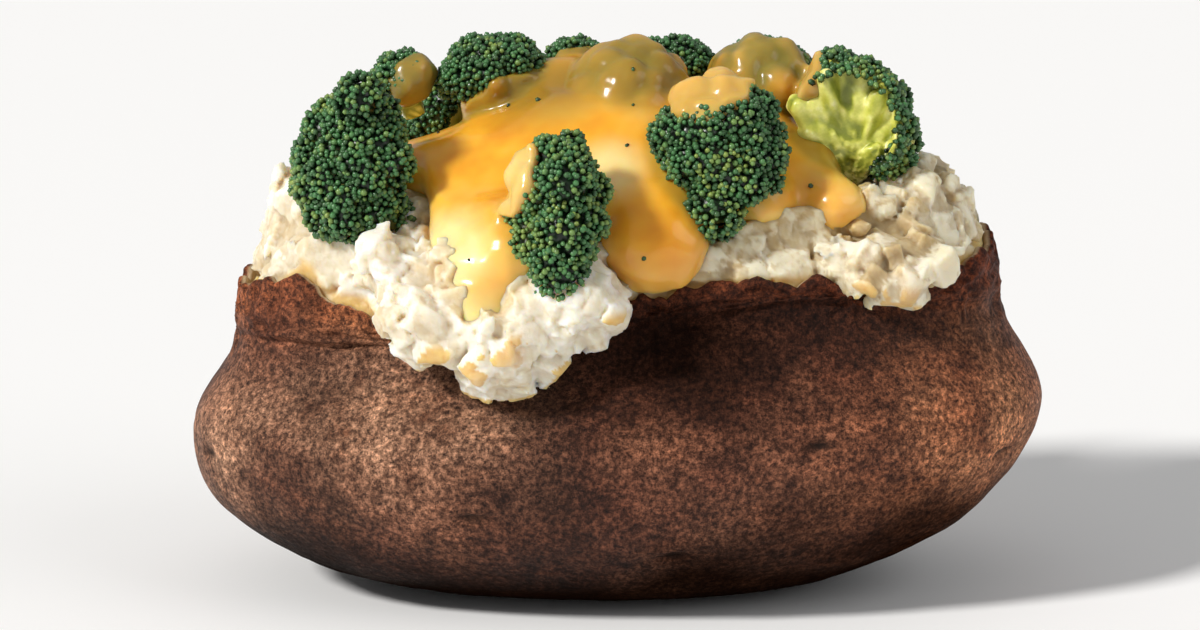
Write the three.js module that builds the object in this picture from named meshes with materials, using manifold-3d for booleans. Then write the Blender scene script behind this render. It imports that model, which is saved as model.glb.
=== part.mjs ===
// A large baked russet potato, split along its top and pressed open: the jacket, the fluffed flesh heaped
// out of it, cheese sauce run over the heap, and broccoli florets. Millimetres, +Z up. +X runs along the
// potato and -Y is its open front. The origin is under the middle, on the surface that the potato stands on.
import * as THREE from "three";
import { mergeVertices } from "three/addons/utils/BufferGeometryUtils.js";
import Module from "manifold-3d";

const wasm = await Module();
wasm.setup();

// ---- driving dimensions ----
const GAP = 0.3; // clearance between pieces that rest on each other

const HALF_LENGTH = 70;
const HALF_WIDTH = 38.5;
const FOOT_SHARE = 0.25; // the flat spot underneath, as a share of the body's half width
const BELLY_HEIGHT = 29; // where the body is widest
const NECK_HEIGHT = 44.5; // the crease where the torn rim stands up from the body
const NECK_SHARE = 0.9;
const RIM_HEIGHT = 53.5;
const RIM_SHARE = 0.885;
const WALL = 2.4; // the skin with the flesh that clings to it
const BODY_POWER = 2.2; // how square the underside's curve is; 2 is an ellipse
const PLAN_POWER = 2.35; // the same for the outline seen from above
const PINCH = 0.2; // how far the neck draws in at the front and back
const END_RISE = 2.4; // the +X end stands this much higher than the middle, and the other end this much lower
const END_TUCK = 4; // how far the underside is drawn up towards the +X end
const BUMP_LENGTH = 46; // from one slow swelling of the skin to the next
const BUMP_SHARE = 0.018; // how far each swells, as a share of the distance from the middle

const JACKET_SEGMENTS = 40;
const UNDER_STEPS = 6;
const SHOULDER_STEPS = 4;

// Where the torn rim dips or stands up: its direction seen from above, height and half width in radians.
const RIM_SHAPE = [
  { at: { x: -18, y: -28 }, lift: -6.5, spread: 0.33 },
  { at: { x: 42, y: -26 }, lift: -3.5, spread: 0.14 },
  { at: { x: -50, y: -22 }, lift: 3.0, spread: 0.07 },
  { at: { x: 10, y: 30 }, lift: -4.5, spread: 0.25 },
  { at: { x: -40, y: 24 }, lift: 2.0, spread: 0.12 },
  { at: { x: 66, y: 4 }, lift: 1.5, spread: 0.3 },
  { at: { x: -66, y: 2 }, lift: -2.0, spread: 0.3 },
];

// Where the crease under the rim rises, closing up on the rim.
const CREASE_SHAPE = [
  { at: { x: 26, y: -28 }, lift: 5, spread: 0.5 },
  { at: { x: -24, y: 26 }, lift: 3, spread: 0.4 },
];

// The heap's main body, a flattened ball that the lumps stand out of.
const MOUND = { centre: [-1, 0, 48], radii: [57, 27, 27] };

// The larger lumps of the heap, each a rough stone shape: where it is and its half sizes.
const LUMP_ROUGHNESS = 0.1; // as a share of its half sizes
const LUMP_WAVE = 1.3; // from one swelling of a lump to the next, in its half sizes
const DOME_DETAIL = 3; // how finely the mound and the sauce's dome are faceted; a lump is 1
const LUMPS = [
  { name: "left lobe", at: [-50, -3, 58], radii: [11.5, 16, 11] },
  { name: "left front", at: [-44, -17, 58.5], radii: [10, 9, 7.5] },
  { name: "front block", at: [-36, -25, 57], radii: [5, 5.5, 6.5] },
  { name: "tongue left", at: [-28, -32, 50.5], radii: [9, 6, 7.5] },
  { name: "tongue middle", at: [-18, -34, 47], radii: [10, 6, 8] },
  { name: "tongue right", at: [-7, -33, 52], radii: [9, 6, 7] },
  { name: "tongue root", at: [-17, -27, 55], radii: [17, 8, 10] },
  { name: "front middle", at: [13, -23.5, 58], radii: [13, 6, 5.5] },
  { name: "front right", at: [26, -22, 59.5], radii: [9, 6.5, 6.5] },
  { name: "right front", at: [38, -18, 60], radii: [9, 8.5, 9] },
  { name: "right lobe", at: [49, -5, 60], radii: [10.5, 15, 11] },
  { name: "right spill", at: [42, -23.5, 56], radii: [9, 6, 5.5] },
  { name: "right corner", at: [52, -13, 58.5], radii: [6.5, 7.5, 7.5] },
  { name: "back left", at: [-44, 14, 57], radii: [10, 10, 9] },
  { name: "back lobe", at: [-24, 23, 57], radii: [12, 7.5, 8.5] },
  { name: "back middle", at: [-4, 25, 56], radii: [10, 7, 8] },
  { name: "back spill", at: [10, 30, 49.5], radii: [11, 6, 8] },
  { name: "back right", at: [22, 23, 58], radii: [11, 8, 8] },
  { name: "back corner", at: [41, 15, 58], radii: [11, 9, 9] },
];

// The main pool of sauce: the top of a flattened ball over the mound, down to its floor.
const BLANKET = { centre: [3, 0, 51.5], radii: [39, 27.5, 30], floor: 61 };

// Runs of sauce, each a round-ended stroke sunk partly into the heap.
const RUNS = [
  { from: [-24, -17, 66], to: [-20, -32.5, 52.5], radius: 7.2 },
  { from: [-22, -19, 63], to: [4, -18.5, 64], radius: 8.5 },
  { from: [-8, -18, 66], to: [-11, -28, 60], radius: 7 },
  { from: [4, -16, 66], to: [5, -27, 59], radius: 7 },
  { from: [28, -13, 66], to: [32, -20, 64.5], radius: 7 },
  { from: [-28, -4, 68], to: [-36, 3, 65], radius: 6.5 },
  { from: [-16, 16, 66], to: [-16, 27, 58], radius: 7 },
  { from: [12, 17, 66], to: [13, 29.5, 54], radius: 7 },
  { from: [29, 14, 66], to: [32, 20, 64], radius: 6.5 },
];

const RUN_SEGMENTS = 9;
const RUN_STEPS = 2; // rows of faces in the round end of a run

// Florets: the middle of the crown, the way the crown faces, its half width and how much longer it is than
// wide. A sliced floret is cut flat on the side towards -Y.
const FLORETS = [
  { name: "floret_left", at: [-41.5, -15.5, 71.5], faces: [-0.45, -0.8, 0.3], radius: 10.2, tall: 1.25 },
  { name: "floret_small_left", at: [-35, 4.5, 82.5], faces: [-0.35, -0.1, 0.93], radius: 5.6, tall: 1 },
  { name: "floret_top_left", at: [-19.8, 6, 83], faces: [-0.15, 0.1, 0.98], radius: 9, tall: 1 },
  { name: "floret_small_top", at: [-6.5, 14.5, 84.5], faces: [0.1, 0.3, 0.95], radius: 4.8, tall: 1 },
  { name: "floret_top_middle", at: [2.5, -2, 81.5], faces: [0.05, -0.45, 0.89], radius: 8.6, tall: 1 },
  { name: "floret_top_right", at: [10.5, 13.5, 83], faces: [0.25, 0.25, 0.93], radius: 7, tall: 1 },
  { name: "floret_right", at: [16.5, -20, 75.5], faces: [0.1, -0.85, 0.5], radius: 10.4, tall: 1.06 },
  { name: "floret_front", at: [-9, -32.5, 67], faces: [-0.08, -0.92, 0.38], radius: 7.9, tall: 1.6 },
  { name: "floret_back_dome", at: [24.5, 6, 82.5], faces: [0.1, -0.2, 0.97], radius: 8.2, tall: 1 },
  { name: "floret_sliced", at: [38.5, -6, 77.5], faces: [0.8, -0.05, 0.6], radius: 11.4, tall: 1, sliced: true },
  { name: "floret_rear_left", at: [-27, 23, 71.5], faces: [-0.35, 0.75, 0.55], radius: 10, tall: 1.1 },
  { name: "floret_rear_middle", at: [3, 28, 71], faces: [0.05, 0.8, 0.6], radius: 8.8, tall: 1.15 },
  { name: "floret_rear_right", at: [31, 24, 71.5], faces: [0.35, 0.75, 0.55], radius: 9.6, tall: 1 },
];
const STEM_SHARE = 0.38; // a stem's half width as a share of its crown's
const STEM_LENGTH = 1.05; // from the crown's middle to the cut end, in crown half widths
const CROWN_EDGE = 0.92; // the crown's half width just under its widest place
const DOME_SHARE = 0.78; // the crown's height above its middle, in crown half widths
const LOBES = 4;
const LOBE_DEPTH = 0.07;
const SLICE_DEPTH = 0.2; // how far in front of a sliced floret's middle its cut lies, in crown half widths
const FLORET_SEGMENTS = 11;
const DOME_STEPS = 4;
const POCKET_SHARE = 1.14; // the half width of the hollow under a floret, in crown half widths
const POCKET_SEGMENTS = 10;

// ---- tools ----
const smooth = THREE.MathUtils.smoothstep; // smooth(value, low, high)

// A closed three.js geometry as a manifold-3d solid, with the triangles that collapse at a pole left out.
function solid(geometry) {
  const bare = geometry.clone();
  bare.deleteAttribute("normal");
  bare.deleteAttribute("uv");
  const merged = mergeVertices(bare, 1e-4);
  const corners = [];
  for (let i = 0; i < merged.index.count; i += 3) {
    const [a, b, c] = [0, 1, 2].map((k) => merged.index.getX(i + k));
    if (a !== b && b !== c && c !== a) corners.push(a, b, c);
  }
  const mesh = new wasm.Mesh({
    numProp: 3,
    vertProperties: merged.attributes.position.array,
    triVerts: new Uint32Array(corners),
  });
  return new wasm.Manifold(mesh);
}

// The largest body of a solid, as a three.js geometry.
function geometryOf(made) {
  const [largest] = made.decompose().sort((a, b) => b.volume() - a.volume());
  const mesh = largest.getMesh();
  const corners = mesh.vertProperties;
  return new THREE.BufferGeometry()
    .setAttribute("position", new THREE.BufferAttribute(new Float32Array(corners), 3))
    .setIndex(new THREE.BufferAttribute(new Uint32Array(mesh.triVerts), 1))
    .toNonIndexed();
}

function joined(solids) {
  return solids.reduce((all, one) => all.add(one));
}

function cut(body, tools) {
  return tools.reduce((left, tool) => left.subtract(tool), body);
}

// Moves every vertex of a geometry by a function that changes the vector it is given.
function reshape(geometry, move) {
  const place = geometry.attributes.position;
  const v = new THREE.Vector3();
  for (let i = 0; i < place.count; i++) {
    v.fromBufferAttribute(place, i);
    move(v);
    place.setXYZ(i, v.x, v.y, v.z);
  }
  return geometry;
}

// A slow, even unevenness from -1 to 1 at a point, different for each seed.
function unevenness(v, waveLength, seed) {
  const k = (2 * Math.PI) / waveLength;
  const a = Math.sin(k * (v.x + 0.6 * v.y) + 1.7 * seed);
  const b = Math.sin(k * (v.y - 0.5 * v.z) + 2.9 * seed);
  const c = Math.sin(k * (v.z + 0.4 * v.x) + 4.3 * seed);
  return (a + b + c) / 3;
}

// ---- the jacket ----
// The outside of a round bowl from the middle of its foot to its rim, as [distance from the axis, height].
function bowlOutline() {
  const foot = FOOT_SHARE * HALF_WIDTH;
  const points = [new THREE.Vector2(0, 0), new THREE.Vector2(foot, 0)];
  for (let i = 1; i <= UNDER_STEPS; i++) {
    const turn = (Math.PI / 2) * (i / UNDER_STEPS);
    const out = Math.sin(turn) ** (2 / BODY_POWER);
    const up = 1 - Math.cos(turn) ** (2 / BODY_POWER);
    points.push(new THREE.Vector2(foot + (HALF_WIDTH - foot) * out, BELLY_HEIGHT * up));
  }
  const neck = NECK_SHARE * HALF_WIDTH;
  for (let i = 1; i <= SHOULDER_STEPS; i++) {
    const turn = (Math.PI / 2) * (i / SHOULDER_STEPS);
    const out = neck + (HALF_WIDTH - neck) * Math.cos(turn);
    const up = BELLY_HEIGHT + (NECK_HEIGHT - BELLY_HEIGHT) * Math.sin(turn);
    points.push(new THREE.Vector2(out, up));
  }
  const rim = RIM_SHARE * HALF_WIDTH;
  points.push(new THREE.Vector2((neck + rim) / 2, (NECK_HEIGHT + RIM_HEIGHT) / 2));
  points.push(new THREE.Vector2(rim, RIM_HEIGHT));
  return points;
}

// The same outline, moved outwards by a distance, or inwards if it is negative.
function offsetOutline(points, distance) {
  return points.map((point, i) => {
    const before = points[Math.max(i - 1, 0)];
    const after = points[Math.min(i + 1, points.length - 1)];
    const along = after.clone().sub(before).normalize();
    const moved = new THREE.Vector2(point.x + along.y * distance, point.y - along.x * distance);
    return i === 0 ? moved.setX(0) : moved;
  });
}

// How far a list of rises and dips lifts the potato's edge in one direction seen from above.
function liftAt(turn, shape) {
  return shape.reduce((sum, { at, lift, spread }) => {
    const middle = Math.atan2(at.y / HALF_WIDTH, at.x / HALF_LENGTH);
    const away = Math.atan2(Math.sin(turn - middle), Math.cos(turn - middle));
    return sum + lift * Math.exp(-((away / spread) ** 2));
  }, 0);
}

// Turns a point of the round bowl into one of the potato: long, oblong from above, drawn in at the neck,
// fuller at one end, a little uneven, and with the rim torn to different heights.
function potatoForm(v) {
  const turn = Math.atan2(v.y, v.x);
  const reach = Math.hypot(v.x, v.y);
  const [c, s] = [Math.cos(turn), Math.sin(turn)];
  const plan = (Math.abs(c) ** PLAN_POWER + Math.abs(s) ** PLAN_POWER) ** (-1 / PLAN_POWER);
  const above = smooth(v.z, BELLY_HEIGHT, NECK_HEIGHT);
  const torn = smooth(v.z, NECK_HEIGHT, RIM_HEIGHT);
  const up = Math.min(v.z / BELLY_HEIGHT, 1);
  const raised = END_RISE * c * up + END_TUCK * Math.max(c, 0) * Math.sin(Math.PI * Math.max(up, 0));
  const creased = liftAt(turn, CREASE_SHAPE) * above * (1 - torn);
  v.x = reach * c * plan * (HALF_LENGTH / HALF_WIDTH);
  v.y = reach * s * plan * (1 - PINCH * above);
  const swell = 1 + BUMP_SHARE * unevenness(v, BUMP_LENGTH, 1) * smooth(v.z, 0, BELLY_HEIGHT / 2);
  v.x *= swell;
  v.y *= swell;
  v.z += raised + creased + liftAt(turn, RIM_SHAPE) * torn;
}

function turned(outline, segments) {
  return new THREE.LatheGeometry(outline, segments).rotateX(Math.PI / 2);
}

// Every second point of an outline, with both its ends.
function thinned(points) {
  return points.filter((_, i) => i === 0 || (points.length - 1 - i) % 2 === 0);
}

function makeJacket(grow) {
  const outline = bowlOutline();
  const outside = offsetOutline(outline, grow);
  const inside = thinned(offsetOutline(outline, -(WALL + grow)));
  inside.at(-1).y += grow;
  outside.at(-1).y += grow;
  const profile = [...outside, ...inside.reverse()];
  return solid(reshape(turned(profile, JACKET_SEGMENTS), potatoForm));
}

// ---- the flesh ----
function makeCore() {
  const outline = thinned(offsetOutline(bowlOutline(), -WALL / 2));
  const top = new THREE.Vector2(0, RIM_HEIGHT - WALL);
  return solid(reshape(turned([...outline, top], JACKET_SEGMENTS / 2), potatoForm));
}

// A rough stone: a ball of flat faces, pushed in and out, with three half sizes.
function makeLump({ at, radii }, grow, seed, detail = 1) {
  const stone = new THREE.IcosahedronGeometry(1, detail);
  return solid(
    reshape(stone, (v) => {
      const rough = 1 + LUMP_ROUGHNESS * unevenness(v, LUMP_WAVE, seed);
      v.set(v.x * (radii[0] + grow), v.y * (radii[1] + grow), v.z * (radii[2] + grow));
      v.multiplyScalar(rough);
      v.add(new THREE.Vector3(...at));
    }),
  );
}

function makeHeap(grow) {
  const mound = makeLump({ at: MOUND.centre, radii: MOUND.radii }, grow, 3, DOME_DETAIL);
  const lumps = LUMPS.map((lump, i) => makeLump(lump, grow, i + 5));
  return joined([mound, ...lumps]);
}

// ---- the sauce ----
function makeRun({ from, to, radius }) {
  const [start, end] = [new THREE.Vector3(...from), new THREE.Vector3(...to)];
  const along = end.clone().sub(start);
  const capsule = new THREE.CapsuleGeometry(radius, along.length(), RUN_STEPS, RUN_SEGMENTS);
  const turn = new THREE.Quaternion().setFromUnitVectors(
    new THREE.Vector3(0, 1, 0),
    along.clone().normalize(),
  );
  const middle = start.add(end).multiplyScalar(0.5);
  return solid(capsule.applyQuaternion(turn).translate(middle.x, middle.y, middle.z));
}

function makeSauce() {
  const { centre, radii, floor } = BLANKET;
  const dome = makeLump({ at: centre, radii }, 0, 9, DOME_DETAIL);
  const span = 4 * HALF_LENGTH;
  const above = new THREE.BoxGeometry(span, span, span).translate(0, 0, floor + span / 2);
  return joined([dome.intersect(solid(above)), ...RUNS.map(makeRun)]);
}

// ---- the florets ----
// Half of a floret's outline, from the cut end of its stem to the top of its crown, for a crown of half
// width 1 whose middle is at height 0.
function floretOutline() {
  const points = [
    [0, -STEM_LENGTH],
    [STEM_SHARE, -STEM_LENGTH],
    [(STEM_SHARE + 1) / 2, -STEM_LENGTH / 2],
    [CROWN_EDGE, -STEM_LENGTH / 4],
  ];
  for (let i = 0; i <= DOME_STEPS; i++) {
    const turn = (Math.PI / 2) * (i / DOME_STEPS);
    points.push([Math.cos(turn), DOME_SHARE * Math.sin(turn)]);
  }
  return points.map(([out, up]) => new THREE.Vector2(Math.max(out, 0), up));
}

function lobedCrown(radius, tall, seed) {
  return reshape(turned(floretOutline(), FLORET_SEGMENTS), (v) => {
    const turn = Math.atan2(v.y, v.x);
    const lobe = 1 + LOBE_DEPTH * smooth(v.z, -0.5, 0) * Math.cos(LOBES * turn + seed);
    v.set(v.x * lobe * radius, v.y * lobe * radius * tall, v.z * radius);
  });
}

// The hollow that a floret presses into what lies under it: a plainer form that clears it all round.
function pocketOutline(clearance) {
  const wide = POCKET_SHARE + clearance;
  const low = -STEM_LENGTH - clearance;
  const high = DOME_SHARE + clearance;
  return [
    new THREE.Vector2(0, low),
    new THREE.Vector2(wide / 2, low),
    new THREE.Vector2(wide, -DOME_SHARE / 3),
    new THREE.Vector2(wide, DOME_SHARE / 3),
    new THREE.Vector2((wide * 2) / 3, high),
    new THREE.Vector2(0, high),
  ];
}

function pocketForm(radius, tall) {
  const form = turned(pocketOutline(GAP / radius), POCKET_SEGMENTS);
  return form.scale(radius, radius * tall, radius);
}

// Turns a floret that faces straight up, with its middle at the origin, to where it sits.
function seated(form, { at, faces }) {
  const z = new THREE.Vector3(...faces).normalize();
  const upright = Math.abs(z.z) > 0.9 ? new THREE.Vector3(0, 1, 0) : new THREE.Vector3(0, 0, 1);
  const x = new THREE.Vector3().crossVectors(upright, z).normalize();
  const y = new THREE.Vector3().crossVectors(z, x);
  return form.applyMatrix4(new THREE.Matrix4().makeBasis(x, y, z)).translate(...at);
}

// What is left of a sliced floret: everything behind a flat cut that faces -Y.
function behindTheCut({ at, radius }, clearance) {
  const span = 4 * radius;
  const front = at[1] - SLICE_DEPTH * radius - clearance;
  return solid(new THREE.BoxGeometry(span, span, span).translate(at[0], front + span / 2, at[2]));
}

function makeFloret(floret, seed) {
  const whole = solid(seated(lobedCrown(floret.radius, floret.tall, seed), floret));
  return floret.sliced ? whole.intersect(behindTheCut(floret, 0)) : whole;
}

function makePocket(floret) {
  const whole = solid(seated(pocketForm(floret.radius, floret.tall), floret));
  return floret.sliced ? whole.intersect(behindTheCut(floret, GAP)) : whole;
}

// ---- assembly ----
const LOOKS = {
  jacket: { color: 0x5a3a28, roughness: 0.75, metalness: 0 },
  flesh: { color: 0xeee6cf, roughness: 0.6, metalness: 0 },
  sauce: { color: 0xeea02c, roughness: 0.3, metalness: 0 },
  broccoli: { color: 0x1f5a2e, roughness: 0.5, metalness: 0 },
};

const potato = new THREE.Group();

function place(name, made, look) {
  const piece = new THREE.Mesh(geometryOf(made), new THREE.MeshStandardMaterial(LOOKS[look]));
  piece.name = name;
  potato.add(piece);
}

const aroundJacket = makeJacket(GAP);
const aroundHeap = makeHeap(GAP);
const aroundFlorets = FLORETS.map(makePocket);

place("jacket", makeJacket(0), "jacket");
place("flesh", cut(makeCore().add(makeHeap(0)), [aroundJacket, ...aroundFlorets]), "flesh");
place("cheese_sauce", cut(makeSauce(), [aroundJacket, aroundHeap, ...aroundFlorets]), "sauce");
FLORETS.forEach((floret, i) => place(floret.name, makeFloret(floret, i), "broccoli"));


// The origin moves under the middle of the whole potato.
const middle = new THREE.Box3().setFromObject(potato).getCenter(new THREE.Vector3());
potato.children.forEach((piece) => piece.geometry.translate(-middle.x, -middle.y, 0));

export default potato;
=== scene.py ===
"""A baked potato split open and pressed up, with cheese sauce and broccoli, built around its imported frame.

Shapes are worked out in millimetres in the solid model's own layout, and moved onto the frame at the end.
"""
import math
from functools import partial

import bpy
import numpy as np
import openvdb
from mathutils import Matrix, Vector


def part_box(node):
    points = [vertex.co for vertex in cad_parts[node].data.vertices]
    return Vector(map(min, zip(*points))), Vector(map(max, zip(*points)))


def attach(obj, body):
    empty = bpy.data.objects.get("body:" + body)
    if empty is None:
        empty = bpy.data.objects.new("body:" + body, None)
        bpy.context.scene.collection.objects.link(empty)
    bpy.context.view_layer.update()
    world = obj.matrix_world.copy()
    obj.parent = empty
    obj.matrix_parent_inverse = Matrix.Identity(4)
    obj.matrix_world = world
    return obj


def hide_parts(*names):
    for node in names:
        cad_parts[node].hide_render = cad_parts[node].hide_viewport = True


MM = 0.001
FAR = 6.0  # the distance, in millimetres, past which a field stops counting

# How far apart the grid points of the fields lie, in millimetres.
FLESH_PITCH = 0.47
SAUCE_PITCH = 0.5
STEM_PITCH = 0.75
SLICED_PITCH = 0.4
COARSE_PITCH = 1.0

# ---- the potato's form, as in the solid model ----
HALF_LENGTH = 70.0
HALF_WIDTH = 38.5
FOOT = 0.25 * HALF_WIDTH
BELLY_HEIGHT = 29.0
NECK_HEIGHT = 44.5
NECK = 0.9 * HALF_WIDTH
RIM_HEIGHT = 53.5
RIM = 0.885 * HALF_WIDTH
LIP = 0.9  # how thick the jacket's torn edge looks
BODY_POWER = 2.2
PLAN_POWER = 2.35
PINCH = 0.2
END_RISE = 2.4
END_TUCK = 4.0
BUMP_LENGTH = 46.0
BUMP_SHARE = 0.018

# Rises and dips of the torn rim and of the crease under it: where they are seen from above, how far they
# lift, and their half width in radians.
RIM_SHAPE = [
    ((-18, -28), -6.5, 0.33),
    ((42, -26), -3.5, 0.14),
    ((-50, -22), 4.0, 0.07),
    ((10, 30), -4.5, 0.25),
    ((-40, 24), 2.0, 0.12),
    ((66, 4), 1.5, 0.3),
    ((-66, 2), -2.0, 0.3),
]
CREASE_SHAPE = [((26, -28), 5.0, 0.5), ((-24, 26), 3.0, 0.4)]

# The heap: each lump's middle and half sizes.
MOUND = ((-1, 0, 48), (57, 27, 27))
LUMPS = [
    ((-50, -3, 58), (11.5, 16, 11)),
    ((-44, -17, 58.5), (10, 9, 7.5)),
    ((13, -23.5, 58), (13, 6, 5.5)),
    ((26, -22, 59.5), (9, 6.5, 6.5)),
    ((38, -18, 60), (9, 8.5, 9)),
    ((49, -5, 60), (10.5, 15, 11)),
    ((52, -13, 58.5), (6.5, 7.5, 7.5)),
    ((-44, 14, 57), (10, 10, 9)),
    ((-24, 23, 57), (12, 7.5, 8.5)),
    ((-4, 25, 56), (10, 7, 8)),
    ((22, 23, 58), (11, 8, 8)),
    ((41, 15, 58), (11, 9, 9)),
]

# The lumps that spill out over the torn rim: the tongue at the front, one at its right and one at the back.
SPILLS = [
    ((-36, -25, 57), (5, 5.5, 6.5)),
    ((-28, -32, 50.5), (9, 6, 7.5)),
    ((-18, -34, 47), (10, 6, 8)),
    ((-7, -33, 52), (9, 6, 7)),
    ((-17, -27, 55), (17, 8, 10)),
    ((43, -21.5, 56.5), (10, 6, 6.5)),
    ((10, 30, 49.5), (11, 6, 8)),
]

# Florets: the crown's middle, the way it faces, its half width and how much longer it is than wide.
FLORETS = {
    "floret_left": ((-41.5, -15.5, 71.5), (-0.45, -0.8, 0.3), 10.2, 1.25),
    "floret_small_left": ((-35, 4.5, 82.5), (-0.35, -0.1, 0.93), 5.6, 1.0),
    "floret_top_left": ((-19.8, 6, 83), (-0.15, 0.1, 0.98), 9.0, 1.0),
    "floret_small_top": ((-6.5, 14.5, 84.5), (0.1, 0.3, 0.95), 4.8, 1.0),
    "floret_top_middle": ((2.5, -2, 81.5), (0.05, -0.45, 0.89), 8.6, 1.0),
    "floret_top_right": ((10.5, 13.5, 83), (0.25, 0.25, 0.93), 7.0, 1.0),
    "floret_right": ((16.5, -20, 75.5), (0.1, -0.85, 0.5), 10.4, 1.06),
    "floret_front": ((-9, -32.5, 67), (-0.08, -0.92, 0.38), 7.9, 1.6),
    "floret_back_dome": ((24.5, 6, 82.5), (0.1, -0.2, 0.97), 8.2, 1.0),
    "floret_sliced": ((38.5, -6, 77.5), (0.8, -0.05, 0.6), 11.4, 1.0),
    "floret_rear_left": ((-27, 23, 71.5), (-0.35, 0.75, 0.55), 10.0, 1.1),
    "floret_rear_middle": ((3, 28, 71), (0.05, 0.8, 0.6), 8.8, 1.15),
    "floret_rear_right": ((31, 24, 71.5), (0.35, 0.75, 0.55), 9.6, 1.0),
}
SLICE_DEPTH = 0.2  # how far in front of the sliced floret's middle its cut lies, in crown half widths

# The sauce lies where this ball (middle, half sizes) or one of these strokes (from, to, half width) reaches.
SAUCE_POOL = ((1, -1, 72), (37, 25, 17.5))
SAUCE_RUNS = [
    ((-26, -14, 72), (-20.5, -31.5, 52.5), 6.3),
    ((-17, -16, 74), (-15, -29, 61), 8.0),
    ((3, -12, 74), (5.5, -25, 62), 8.5),
    ((17, -8, 74), (22, -18.5, 69), 7.0),
    ((28, -8, 74), (34, -17, 66), 5.2),
    ((-28, -2, 74), (-37, 2, 68), 8.0),
    ((-16, 10, 72), (-16, 28, 57), 8.0),
    ((12, 10, 72), (13, 31, 53), 8.0),
    ((28, 8, 72), (34, 20, 63), 8.0),
]


# ---- numbers and noise ----
NOISE_CELLS = 32  # the noise repeats after this many waves
CRUMB_CELLS = 24  # the crumbs repeat after this many


def smooth(value, low, high):
    t = np.clip((value - low) / (high - low), 0, 1)
    return t * t * (3 - 2 * t)


def soft_min(a, b, blend):
    near = np.maximum(blend - np.abs(a - b), 0) / blend
    return np.minimum(a, b) - near * near * blend * 0.25


def soft_max(a, b, blend):
    return -soft_min(-a, -b, blend)


def peak(away, wide):
    """1 in the middle, falling off to either side over a half width."""
    return np.exp(-((away / wide) ** 2))


def unit(v):
    return v / np.linalg.norm(v, axis=-1, keepdims=True)


def noise_at(points, wave, seed):
    """Smooth noise from -1 to 1 at an array of points, with features about one wave across."""
    table = np.random.default_rng(seed).uniform(-1, 1, 3 * (NOISE_CELLS,)).astype(np.float32)
    scaled = np.asarray(points, np.float32) / wave
    base = np.floor(scaled).astype(np.int64)
    part = scaled - base
    part = part * part * (3 - 2 * part)
    total = 0
    for corner in np.ndindex(2, 2, 2):
        i, j, k = ((base[..., axis] + corner[axis]) % NOISE_CELLS for axis in range(3))
        share = 1
        for axis in range(3):
            share = share * (part[..., axis] if corner[axis] else 1 - part[..., axis])
        total = total + share * table[i, j, k]
    return total


def layered(points, layers):
    """Noise added up in layers of (depth, wave, seed)."""
    return sum(depth * noise_at(points, wave, seed) for depth, wave, seed in layers)


def cells_at(points, wide, seed):
    """The crumb that each point belongs to: the way from its middle, how much further the next one's middle
    is, and four random numbers of its own."""
    table = np.random.default_rng(seed).uniform(0, 1, 3 * (CRUMB_CELLS,) + (4,)).astype(np.float32)
    scaled = np.asarray(points, np.float32) / wide
    base = np.floor(scaled).astype(np.int64)
    nearest = np.full(len(points), 9, np.float32)
    second = nearest.copy()
    way = np.zeros((len(points), 3), np.float32)
    own = np.zeros((len(points), 4), np.float32)
    for corner in np.ndindex(3, 3, 3):
        cell = base + np.array(corner) - 1
        numbers = table[tuple((cell % CRUMB_CELLS).T)]
        away = scaled - cell - numbers[:, :3]
        far = np.einsum("ij,ij->i", away, away)
        wins = far < nearest
        second = np.where(wins, nearest, np.minimum(second, far))
        nearest[wins], way[wins], own[wins] = far[wins], away[wins], numbers[wins]
    return way, np.sqrt(second) - np.sqrt(nearest), own


def unevenness(x, y, z, wave, seed):
    """The same gentle waves that the solid model's skin has."""
    k = 2 * math.pi / wave
    a = np.sin(k * (x + 0.6 * y) + 1.7 * seed)
    b = np.sin(k * (y - 0.5 * z) + 2.9 * seed)
    c = np.sin(k * (z + 0.4 * x) + 4.3 * seed)
    return (a + b + c) / 3


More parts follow.
